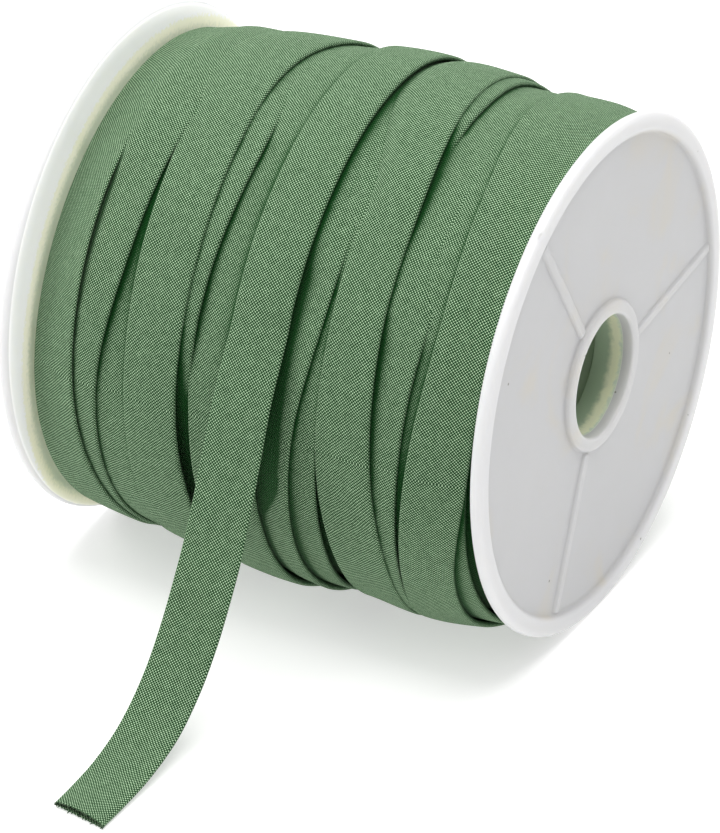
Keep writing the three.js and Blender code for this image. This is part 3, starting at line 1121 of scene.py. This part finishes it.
@dataclass
class WoundBinding:
    """The wound tape: a body of buried turns, and each of the turns that show."""

    axis: SpoolAxis
    last: LastTurn = LastTurn()
    profile_x: tuple[float, ...] = (-50.4, -36.7, -23.6, -10.5, 5.2, 18.4, 31.5, 42.0, 50.4)
    profile_angles: tuple[float, ...] = (30, 120, 215, 305)
    profile_radii: tuple[tuple[float, ...], ...] = (
        (49.6, 50.9, 51.2, 51.4, 51.6, 51.4, 51.3, 51.2, 50.0),
        (49.6, 50.5, 50.9, 51.7, 52.3, 51.7, 51.3, 51.7, 50.1),
        (50.3, 51.0, 51.5, 51.9, 52.2, 52.0, 51.8, 51.5, 50.6),
        (50.1, 51.5, 53.1, 54.1, 54.7, 53.6, 54.2, 53.0, 52.0),
    )
    shoulder_from: float = -36.7
    shoulder_drop: float = 7.8
    shoulder_middle: float = 48.0
    shoulder_half_arc: float = 110.0
    half_length: float = 50.1
    hub_radius: float = 16.3
    floor_gap: float = 0.85
    thickness: float = 1.1
    slot_depth: float = 3.6
    crown: float = 0.15
    # How far a turn's edges stray along the axis, and up and down where it is slack.
    stray: float = 0.15
    lift_stray: float = 0.08
    # How far apart in the cloth two neighbouring turns are taken, so that no two match.
    weave_shift: float = 37.0
    stations: int = 360
    body_steps: int = 50
    top_steps: int = 14
    arc_steps: int = 6
    # The survey of the roll's outside: half its length, its step along the axis and how much of
    # each turn's rounded edges it leaves out.
    survey_half: float = 53.0
    survey_step: float = 0.1
    edge_round: float = 0.3
    # How near, how far and how closely the search for hiding tape goes, and the height by which tape has to
    # stand above a place to hide it, for the shade painted into the cloth.
    look: tuple[float, float, float] = (0.3, 5.0, 0.2)
    look_over: float = 0.12
    outside: np.ndarray = field(init=False, repr=False)

    def wound_radius(self, angle: np.ndarray, x: np.ndarray) -> np.ndarray:
        """Radius of the full roll before single turns are told apart.

        Args:
            angle: Round the axis in degrees, one for each row.
            x: Along the axis in millimetres, in rows.

        Returns:
            The radius in millimetres.
        """
        rows = np.eye(len(self.profile_angles))
        result = np.zeros_like(x)
        for row, radii in zip(rows, self.profile_radii):
            weight = around(list(self.profile_angles), list(row), angle)
            result += weight[:, None] * smooth_line(self.profile_x, radii, x)
        lean = np.maximum(0.0, (self.shoulder_from - x) / (self.shoulder_from - self.profile_x[0]))
        offset = np.mod(angle - self.shoulder_middle + 180, 360) - 180
        near = np.minimum(1.0, np.abs(offset) / self.shoulder_half_arc)
        bell = 0.5 + 0.5 * np.cos(np.pi * near)
        result -= self.shoulder_drop * lean * bell[:, None]
        down = np.maximum(1e-6, -np.sin(np.radians(angle)))
        lowest = (self.axis.z - self.floor_gap) / down
        return np.minimum(result, lowest[:, None])

    def wander(self, seed: int, size: float, angle: np.ndarray) -> np.ndarray:
        """A slow uneven drift round the roll, the same on each run.

        Args:
            seed: Which of the drifts.
            size: Its reach in millimetres.
            angle: Where it is wanted, in degrees.

        Returns:
            One value for each angle.
        """
        turn = np.radians(angle)
        waves = ((2, 0.5), (5, 0.3), (9, 0.2))
        return size * sum(part * np.sin(n * turn + 1.7 * seed * n + seed) for n, part in waves)

    def section(self) -> tuple[np.ndarray, np.ndarray, np.ndarray]:
        """Outline of pressed tape with both edges folded, for a thickness of 1 millimetre.

        Returns:
            For each point round the outline: its place across as a share of the width, an offset
            in thicknesses to add to that, and its height above the underside in thicknesses.
        """
        arc = np.radians(np.linspace(-90, 90, self.arc_steps + 1))
        top = np.linspace(0, 1, self.top_steps + 1)[1:-1]
        share = [np.zeros(arc.size), top, np.ones(arc.size), [0.66, 0.33, 0.0]]
        offset = [
            0.5 - 0.5 * np.cos(arc),
            np.zeros(top.size),
            0.5 * np.cos(arc[::-1]) - 0.5,
            [0.0, 0.0, 0.5],
        ]
        height = [
            0.5 + 0.5 * np.sin(arc),
            np.ones(top.size),
            0.5 + 0.5 * np.sin(arc[::-1]),
            [0.0, 0.0, 0.0],
        ]
        return np.concatenate(share), np.concatenate(offset), np.concatenate(height)

    def tightness(self, pressed: float, angle: np.ndarray) -> np.ndarray:
        """How tightly a turn is drawn round the roll, from 0 slack to 1 tight.

        Args:
            pressed: The angle above which it is tight.
            angle: Where it is wanted, from -180 to 180 degrees.

        Returns:
            One value for each angle.
        """
        rising = smoothstep(pressed - 12, pressed + 10, angle)
        return np.where(angle > 0, rising, 1 - smoothstep(-130, -80, angle))

    def lie(self, turn: Turn, seed: int) -> Lie:
        """Works out how one whole turn lies.

        Args:
            turn: The turn's edges.
            seed: Which of the slow drifts it takes.

        Returns:
            Its lie at every station.
        """
        angles = np.linspace(0, 360, self.stations + 1)
        signed = np.where(angles > 180, angles - 360, angles)
        tight = self.tightness(turn.pressed, signed)
        low = 1 - smoothstep(turn.settled - 40, turn.settled, signed)
        edges = []
        for crown, front, under in (turn.left_heights, turn.right_heights):
            loose = front + (under - front) * low
            edges.append(loose + (crown - loose) * tight)
        drift = self.wander(seed, self.stray, angles)
        slack = (1 - tight) * self.wander(seed + 7, self.lift_stray, angles)
        return Lie(
            angles,
            np.maximum(around(EDGE_ANGLES, list(turn.left), angles) + drift, -self.half_length),
            np.minimum(around(EDGE_ANGLES, list(turn.right), angles) + drift, self.half_length),
            np.stack(edges, axis=1) + slack[:, None],
            1 + 4 * tight,
        )

    def last_lie(self, turn_course: tuple[tuple[float, float, float], ...]) -> Lie:
        """Works out how the last turn lies, or the tape that runs off it.

        Args:
            turn_course: Angle round the axis, middle along the axis and height, from the front on.

        Returns:
            Its lie at every station.
        """
        course = np.array(turn_course, float)
        angles = np.arange(course[0, 0], course[-1, 0] + 0.5, 1.0)
        # A narrow first station, as on the loose end that starts there.
        angles = np.insert(angles, 1, angles[0] + 0.05)
        middle = smooth_line(course[:, 0], course[:, 1], angles)
        height = smooth_line(course[:, 0], course[:, 2], angles)
        heights = np.stack([height - self.last.tilt, height + self.last.tilt], axis=1)
        half = self.last.width / 2
        return Lie(angles, middle - half, middle + half, heights, np.ones_like(angles))

    def band(self, lie: Lie) -> tuple[np.ndarray, np.ndarray, np.ndarray]:
        """Places and U of a band of tape.

        Args:
            lie: How it lies.

        Returns:
            Places along the axis, radii and U in millimetres, each by station and by place round
            the outline. U is 0 along the middle of the upper face.
        """
        share, offset, height = self.section()
        x = lie.left[:, None] + share * (lie.right - lie.left)[:, None] + offset * self.thickness
        radius = self.underside(lie, x) + height * self.thickness
        u = unrolled(np.stack([x, radius], axis=-1))
        middle = self.arc_steps + self.top_steps // 2
        return x, radius, u - u[:, middle : middle + 1]

    def underside(self, lie: Lie, x: np.ndarray) -> np.ndarray:
        """Radius of a band's underside at places across it.

        Args:
            lie: How it lies.
            x: The places at each station.

        Returns:
            The radius in millimetres.
        """
        across = np.clip((x - lie.left[:, None]) / (lie.right - lie.left)[:, None], 0, 1)
        rise = 1 - (1 - across) ** lie.bend[:, None]
        lift = lie.heights[:, :1] + (lie.heights[:, 1:] - lie.heights[:, :1]) * rise
        dome = self.crown * (1 - (2 * across - 1) ** 2)
        return self.wound_radius(lie.angles, x) + lift + dome - self.thickness

    def survey(self, lies: list[Lie]) -> None:
        """Measures the outside of the whole roll, so that the shade painted into its creases can be worked
        out.

        Args:
            lies: How every turn lies.
        """
        x = np.arange(-self.survey_half, self.survey_half + self.survey_step / 2, self.survey_step)
        self.outside = np.full((self.stations + 1, x.size), self.hub_radius)
        for lie in lies:
            grid = np.broadcast_to(x, (lie.angles.size, x.size))
            top = self.underside(lie, grid) + self.thickness
            left, right = lie.left[:, None] + self.edge_round, lie.right[:, None] - self.edge_round
            top = np.where((x > left) & (x < right), top, 0.0)
            np.maximum.at(self.outside, self.rows(lie.angles), top)
        self.outside[-1] = self.outside[0]

    def rows(self, angles: np.ndarray) -> np.ndarray:
        """Finds the row of the survey for each angle in degrees."""
        return np.round(np.mod(angles, 360) * self.stations / 360).astype(int)

    def hidden_light_share(self, angles: np.ndarray, x: np.ndarray, radius: np.ndarray) -> np.ndarray:
        """How far the tape on either side hides a place from the light, for the shade painted into the
        cloth: 0 in the open, near 1 in a deep slot.

        Args:
            angles: The angle of each station in degrees.
            x: Places along the axis at each.
            radius: Their radii.

        Returns:
            The share of the light from all round that doesn't reach each place.
        """
        rows = self.rows(angles)[:, None]
        hidden = np.zeros_like(x)
        for side in (-1, 1):
            slope = np.zeros_like(x)
            for reach in np.arange(*self.look):
                place = np.clip(x + side * reach, -self.survey_half, self.survey_half)
                column = np.round((place + self.survey_half) / self.survey_step).astype(int)
                rise = self.outside[rows, column] - radius - self.look_over
                slope = np.maximum(slope, rise / reach)
            hidden += 0.5 - 0.5 / np.sqrt(1 + slope**2)
        return hidden

    def dress(
        self, lie: Lie, seed: int, name: str, finish: bpy.types.Material
    ) -> bpy.types.Object:
        """Makes one band of tape, closed at both ends if it has any.

        Args:
            lie: How it lies.
            seed: Its own number, which sets the stretch of the cloth's pattern that it shows.
            name: Its name.
            finish: The cloth.

        Returns:
            The band's object.
        """
        x, radius, u = self.band(lie)
        points = self.axis.spots(x, lie.angles[:, None], radius)
        v = np.radians(lie.angles)[:, None] * self.axis.radius + 0 * u
        # How much light each place is hidden from, for the shade painted into the cloth.
        depth = self.hidden_light_share(lie.angles, x, radius)
        bm = mapped_grid(points, (u + seed * self.weave_shift) * MM, v * MM, depth)
        bmesh.ops.holes_fill(bm, edges=[e for e in bm.edges if e.is_boundary])
        return finish_piece(bm, name, finish, ("binding_roll",))

    def build_body(self, finish: bpy.types.Material) -> None:
        """Makes the body of buried turns from the hub to the bottom of the slots.

        Args:
            finish: The cloth.
        """
        angles = np.linspace(0, 360, self.stations + 1)
        places = np.linspace(-self.half_length, self.half_length, self.body_steps + 1)
        x = np.concatenate([places, [self.half_length, -self.half_length, places[0]]])
        grid = np.broadcast_to(x, (angles.size, x.size))
        radii = self.wound_radius(angles, grid) - self.slot_depth
        radii[:, -3:-1] = self.hub_radius
        points = self.axis.spots(grid, angles[:, None], radii)
        v = np.radians(angles)[:, None] * self.axis.radius + 0 * grid
        # How much light each place is hidden from, for the shade painted into the cloth.
        depth = self.hidden_light_share(angles, grid, radii)
        bm = mapped_grid(points, grid * MM, v * MM, depth)
        finish_piece(bm, "wound_body", finish, ("binding_roll",))

    def build(self, finish: bpy.types.Material) -> TurnEnd:
        """Makes the body, the turns that show and the last turn.

        Args:
            finish: The cloth.

        Returns:
            How the last turn lies where it leaves the roll.
        """
        lies = [self.lie(turn, seed) for seed, turn in enumerate(TURNS)]
        top = self.last_lie(self.last.course)
        self.survey([*lies, top, self.last_lie(self.last.overhang)])
        self.build_body(finish)
        for seed, (turn, lie) in enumerate(zip(TURNS, lies)):
            self.dress(lie, seed + 1, turn.name, finish)
        self.dress(top, 0, self.last.name, finish)
        start = Lie(*(part[:1] for part in (top.angles, top.left, top.right, top.heights, top.bend)))
        places = np.linspace(start.left, start.right, 61, axis=1)
        under = self.underside(start, places)[0]
        return TurnEnd(top.angles[0], top.left[0], top.right[0], self.thickness, under)


# ------------------------------------------------------------------ loose end


@dataclass
class LooseEnd:
    """The tape's loose end: folded cloth that falls from the roll and lies on the surface."""

    axis: SpoolAxis
    start: TurnEnd
    # Middle line about the spool's axis: along it, out towards the front, up.
    knots: tuple[tuple[float, float, float], ...] = (
        (3.3, 54.4, 9.0),
        (3.25, 58.1, 0.2),
        (3.15, 61.6, -8.4),
        (3.0, 65.3, -17.2),
        (2.75, 69.8, -25.6),
        (2.4, 74.8, -33.8),
        (2.0, 80.8, -41.2),
        (1.6, 88.6, -47.2),
        (1.4, 98.0, -50.3),
        (1.25, 106.7, -51.35),
        (1.2, 113.5, -51.6),
    )
    knot_steps: int = 60
    stations: int = 190
    fold_steps: int = 8
    widest: float = 12.7
    end_width: float = 11.9
    end_thickness: float = 0.9
    cloth: float = 0.26
    # Gap between the two flaps on the underside.
    flap_gap: float = 0.12
    # Over how much of its start the tape keeps the roll's shape.
    lead_length: float = 14.0
    # How far the cut end gapes, how far one side of it is cut ahead of the other, and over what
    # length each of the two comes on.
    gape: float = 0.8
    gape_length: float = 14.0
    cut_slant: float = 2.2
    slant_length: float = 25.0
    # How far its edges rock up and down along it, and how slowly.
    rock: float = 0.12
    rock_length: float = 11.0
    floor_gap: float = 0.02

    def middle_line(self) -> tuple[np.ndarray, np.ndarray]:
        """Evenly spaced points of the middle line, and the distance of each from the roll.

        Returns:
            Points as along, out and up in millimetres, and distances in millimetres.
        """
        middle = (self.start.left + self.start.right) / 2
        radius = float(np.mean(self.start.under)) + self.start.thick / 2
        lead = []
        for angle in (self.start.angle + 4, self.start.angle, self.start.angle - 4):
            turn = math.radians(angle)
            lead.append((middle, radius * math.cos(turn), radius * math.sin(turn)))
        knots = np.array([*lead, *self.knots, self.knots[-1]])
        knots[-1] += knots[-2] - knots[-3]
        dense = []
        for i in range(1, len(knots) - 2):
            t = np.linspace(0, 1, self.knot_steps, endpoint=False)[:, None]
            a, b, c, d = knots[i - 1 : i + 3]
            gaps = [np.linalg.norm(q - p) ** 0.5 for p, q in ((a, b), (b, c), (c, d))]
            lean_b = (b - a) / gaps[0] - (c - a) / (gaps[0] + gaps[1]) + (c - b) / gaps[1]
            lean_c = (c - b) / gaps[1] - (d - b) / (gaps[1] + gaps[2]) + (d - c) / gaps[2]
            dense.append(hermite(b, c, lean_b * gaps[1], lean_c * gaps[1], t))
        line = np.concatenate([*dense, knots[-2:-1]])
        run = unrolled(line[None])[0]
        even = np.linspace(0, run[-1], self.stations + 1)
        # A narrow station at either end keeps the smooth shading off the cut.
        even = np.insert(even, (1, self.stations), (0.03, run[-1] - 0.03))
        return np.stack([np.interp(even, run, line[:, i]) for i in range(3)], axis=1), even

    def fold(self) -> tuple[np.ndarray, np.ndarray, np.ndarray]:
        """Outline of the cloth itself: flap, folded edge, face, folded edge, flap.

        Returns:
            For each point: its place across as a share of half the width, an offset in bend
            radii to add to that, and its height as a share of the thickness.
        """
        arc = np.radians(np.linspace(-90, 90, self.fold_steps + 1))
        side = np.ones(arc.size)
        flap = np.linspace(self.flap_gap / self.widest, 1.0, self.fold_steps)[:-1]
        face = np.linspace(-1.0, 1.0, 23)[1:-1]
        up = 0.5 + 0.5 * np.sin(arc)
        down = 0.5 + 0.5 * np.sin(arc[::-1])
        share = [-flap, -side, face, side, flap[::-1]]
        offset = [0 * flap, 1 - np.cos(arc), 0 * face, np.cos(arc[::-1]) - 1, 0 * flap]
        rise = [0 * flap, up, 1 + 0 * face, down, 0 * flap]
        return np.concatenate(share), np.concatenate(offset), np.concatenate(rise)

    def sweep(self) -> tuple[np.ndarray, np.ndarray, np.ndarray]:
        """Sweeps the folded section along the middle line.

        Returns:
            Points of the middle of the cloth in millimetres, by station and by place round the
            fold, the distance of each station from the roll, and the direction of its end.
        """
        line, run = self.middle_line()
        length = run[-1]
        tangent = np.gradient(line, run, axis=0)
        tangent /= np.linalg.norm(tangent, axis=1)[:, None]
        turn = math.radians(self.start.angle)
        ease = (1 - smoothstep(0.0, self.lead_length, run))[:, None]
        normal = np.stack([0 * run, -tangent[:, 2], tangent[:, 1]], axis=1)
        normal += ease**4 * 4 * np.array([0.0, math.cos(turn), math.sin(turn)])
        normal /= np.linalg.norm(normal, axis=1)[:, None]
        share, offset, rise = self.fold()
        first = self.start.right - self.start.left
        widths = (first, self.widest, self.widest, self.end_width)
        width = np.interp(run, (0, 0.45 * length, 0.75 * length, length), widths)
        thick = np.interp(run, (0, 0.3 * length), (self.start.thick, self.end_thickness))
        bend = (thick[:, None] - self.cloth) / 2
        half = width[:, None] / 2 - self.cloth / 2
        side = share * half + offset * bend
        across = np.linspace(-1, 1, self.start.under.size)
        lies = np.interp(side[0] / half[0], across, self.start.under)
        gape = self.gape * smoothstep(length - self.gape_length, length, run)[:, None]
        rock = self.rock * np.sin(run / self.rock_length)[:, None] * share * (1 - ease)
        up = bend * (2 * rise - 1) + gape * rise * (1 - share**2) + rock
        up += ease * (lies - np.mean(self.start.under))
        ahead = smoothstep(length - self.slant_length, length, run)[:, None]
        slant = self.cut_slant / 2 * share * ahead
        spots = (
            line[:, None, :]
            + side[..., None] * np.array([1.0, 0.0, 0.0])
            + up[..., None] * normal[:, None, :]
            + slant[..., None] * tangent[:, None, :]
        )
        x, out, height = np.moveaxis(spots, -1, 0)
        height = np.maximum(height, self.cloth / 2 + self.floor_gap - self.axis.z)
        points = np.stack([x, self.axis.y - out, self.axis.z + height], axis=-1)
        return points, run, tangent[-1] * (1, -1, 1)

    def build(self, finish: bpy.types.Material) -> bpy.types.Object:
        """Makes the folded cloth, gives it its thickness and frays its cut end.

        Args:
            finish: The cloth.

        Returns:
            The loose end's object.
        """
        points, run, ahead = self.sweep()
        u = unrolled(points)
        middle = u.shape[1] // 2
        u = u - u[:, middle : middle + 1]
        v = math.radians(self.start.angle) * self.axis.radius - run[:, None] + 0 * u
        bm = mapped_grid(points * MM, u * MM, v * MM)
        obj = finish_piece(bm, "loose_end_cloth", finish, ("loose_end",))
        thick = obj.modifiers.new("cloth_thickness", "SOLIDIFY")
        thick.thickness = self.cloth * MM
        thick.offset = 0.0
        threads = CutThreads().build(points[-1], Vector(ahead), finish)
        LOG.info("loose end: %.1f mm long", run[-1])
        return obj


@dataclass(frozen=True)
class CutThreads:
    """Short thread ends along the cut, of uneven length and lean, and every ninth one long."""

    shortest: float = 0.4
    uneven: float = 0.25
    long_extra: float = 0.3
    long_every: int = 9
    root_depth: float = 0.2
    root_radius: float = 0.14
    tip_radius: float = 0.09
    sides: int = 6
    # Lowest that the middle of a thread may lie.
    floor: float = 0.3

    def build(self, edge: np.ndarray, ahead: Vector, finish: bpy.types.Material) -> bpy.types.Object:
        """Sets the threads.

        Args:
            edge: Points along the cut in millimetres.
            ahead: The way the tape points there.
            finish: The cloth.

        Returns:
            The threads, as one object.
        """
        bm = bmesh.new()
        bm.loops.layers.uv.new("cloth")
        for i, spot in enumerate(edge):
            length = self.shortest + self.uneven * abs(math.sin(2.3 * i + 0.7))
            length += self.long_extra * (i % self.long_every == 3)
            lean = Vector((0.5 * math.sin(3.1 * i), 0.0, 0.12 + 0.16 * math.sin(1.7 * i)))
            way = (ahead + lean).normalized()
            middle = Vector(spot) - way * self.root_depth + way * length / 2
            middle.z = max(middle.z, self.floor)
            place = Matrix.Translation(middle) @ way.to_track_quat("Z", "Y").to_matrix().to_4x4()
            bmesh.ops.create_cone(
                bm,
                cap_ends=True,
                segments=self.sides,
                radius1=self.root_radius,
                radius2=self.tip_radius,
                depth=length,
                matrix=Matrix.Scale(MM, 4) @ place,
                calc_uvs=True,
            )
        return finish_piece(bm, "cut_end_threads", finish, ())


# ------------------------------------------------------------------ stage


@dataclass(frozen=True)
class SoftLight:
    """A soft square light that faces the roll, with place and side in metres and power in watts."""

    name: str
    place: tuple[float, float, float]
    size: float
    power: float

    def build(self, aim: Vector) -> None:
        """Hangs the light.

        Args:
            aim: The point that it faces, in metres.
        """
        data = bpy.data.lights.new(self.name, "AREA")
        data.size = self.size
        data.energy = self.power
        lamp = put_in_scene(self.name, data)
        lamp.location = self.place
        lamp.rotation_euler = (aim - Vector(self.place)).to_track_quat("-Z", "Y").to_euler()


@dataclass
class Studio:
    """White card, soft lights and the camera."""

    axis: SpoolAxis
    lights: tuple[SoftLight, ...] = (
        SoftLight("key", (-0.9, -0.4, 0.75), 0.5, 4.3),
        SoftLight("overhead", (0.0, 0.0, 1.2), 1.0, 16.0),
    )
    world_light: float = 0.65
    # Half the card's side, in metres.
    card_reach: float = 4.0
    camera_azimuth: float = 28.604
    camera_height: float = 28.767
    camera_distance: float = 1040.0
    aim_azimuth: float = 28.673
    aim_height: float = 29.892
    lens: float = 227.0
    sensor: float = 36.0

    def build(self) -> None:
        """Sets the card, the lights, the world and the camera."""
        self.card()
        for light in self.lights:
            light.build(Vector((0.0, self.axis.y * MM, self.axis.z * MM)))
        self.world()
        self.camera()

    def card(self) -> None:
        """Lays the card."""
        bm = bmesh.new()
        bmesh.ops.create_grid(bm, x_segments=1, y_segments=1, size=self.card_reach)
        mesh = bpy.data.meshes.new("card")
        bm.to_mesh(mesh)
        bm.free()
        mesh.materials.append(FloorCard().build())
        card = put_in_scene("card", mesh)

    def world(self) -> None:
        """Gives the room an even white light."""
        world = bpy.data.worlds.new("white_room")
        world.use_nodes = True
        back = world.node_tree.nodes["Background"]
        back.inputs["Color"].default_value = WHITE
        back.inputs["Strength"].default_value = self.world_light
        bpy.context.scene.world = world
        bpy.context.scene.view_settings.view_transform = "Standard"

    def camera(self) -> None:
        """Places the camera at its distance and angle from the spool's middle."""
        data = bpy.data.cameras.new("camera")
        data.lens = self.lens
        data.sensor_width = self.sensor
        data.clip_start, data.clip_end = 0.05, 20.0
        camera = put_in_scene("camera", data)
        place = self.direction(self.camera_azimuth, self.camera_height) * self.camera_distance
        camera.location = (place + Vector((0.0, self.axis.y, self.axis.z))) * MM
        look = -self.direction(self.aim_azimuth, self.aim_height)
        camera.rotation_euler = look.to_track_quat("-Z", "Y").to_euler()
        bpy.context.scene.camera = camera

    @staticmethod
    def direction(azimuth: float, height: float) -> Vector:
        """Unit vector from the roll towards an azimuth and a height in degrees."""
        a, e = math.radians(azimuth), math.radians(height)
        return Vector((math.sin(a) * math.cos(e), -math.cos(a) * math.cos(e), math.sin(e)))


# ------------------------------------------------------------------ assembly


def main() -> None:
    """Builds the spool, the wound tape, the loose end and the stage."""
    logging.basicConfig(level=logging.INFO, format="%(name)s: %(message)s")
    axis = SpoolAxis.from_frame()
    plastic = MilkyPlastic().build(axis)
    cotton = BiasCotton().build()
    for side in Side:
        Flange(axis, side).build(plastic)
    HubTube(axis).build(plastic)
    start = WoundBinding(axis).build(cotton)
    LooseEnd(axis, start).build(cotton)
    Studio(axis).build()


if __name__ == "__main__":
    main()
